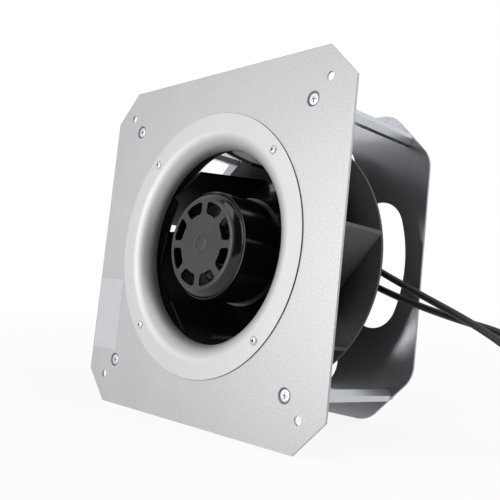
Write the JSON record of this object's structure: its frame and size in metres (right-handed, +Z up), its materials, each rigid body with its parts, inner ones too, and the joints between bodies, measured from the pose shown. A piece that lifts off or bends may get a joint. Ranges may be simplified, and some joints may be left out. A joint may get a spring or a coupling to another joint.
{
  "type": "plug fan",
  "caption": "Backward curved centrifugal plug fan with an external rotor motor between a square inlet plate and a slotted rear plate.",
  "frame": {"origin": "centre of the four mounting holes, on the front face of the front plate", "axes": "+Y along the fan axis from the inlet towards the motor, +X to the right as seen from the inlet, +Z up"},
  "size_m": [0.5398, 0.1355, 0.3],
  "materials": {
    "front_sheet": "galvanised sheet, satin with a fine grain",
    "ring_sheet": "drawn galvanised sheet, satin",
    "rear_sheet": "galvanised sheet, dull and darker",
    "spacer_steel": "zinc plated bar, bluish",
    "zinc_screws": "zinc plated",
    "rivets": "bright aluminium",
    "motor_casting": "die casting, black satin paint",
    "bearing_steel": "ground steel",
    "lamination": "stacked electrical sheet",
    "winding": "enamelled copper wire",
    "black_rubber": "matt black rubber",
    "lead_jacket": "matt black sheath",
    "core_copper": "tinned or bare copper ends",
    "rotor_paint": "black satin paint on steel",
    "impeller_plastic": "black glass filled plastic with a soft sheen"
  },
  "bodies": {
    "fan_frame": {"front_plate": "front_sheet", "inlet_ring": "ring_sheet", "inlet_ring_rivets": "rivets", "front_spacer_screws": "zinc_screws", "rear_plate": "rear_sheet", "rear_spacer_screws": "zinc_screws", "rear_spacer_washers": "zinc_screws", "motor_base": "motor_casting", "motor_base_screws": "zinc_screws", "bearing_cap": "zinc_screws", "bearing_outer_rings": "bearing_steel", "bearing_balls": "bearing_steel", "stator_core": "lamination", "stator_windings": "winding", "lead_glands": "black_rubber", "lead_upper": "lead_jacket", "lead_lower": "lead_jacket", "lead_coil": "lead_jacket", "lead_upper_cores": "core_copper", "lead_lower_cores": "core_copper", "spacer_top_right": "spacer_steel", "spacer_top_left": "spacer_steel", "spacer_bottom_right": "spacer_steel", "spacer_bottom_left": "spacer_steel"},
    "rotor": {"rotor_cup": "rotor_paint", "rotor_core": "lamination", "shaft": "bearing_steel", "shaft_clip": "bearing_steel", "bearing_inner_rings": "bearing_steel", "impeller_wheel": "impeller_plastic", "impeller_shroud": "impeller_plastic"}
  },
  "joints": [
    {"name": "rotor_spin", "type": "hinge", "parent": "fan_frame", "child": "rotor", "pos_m": [0, 0.05, 0], "axis": [0, 1, 0], "continuous": true}
  ]
}
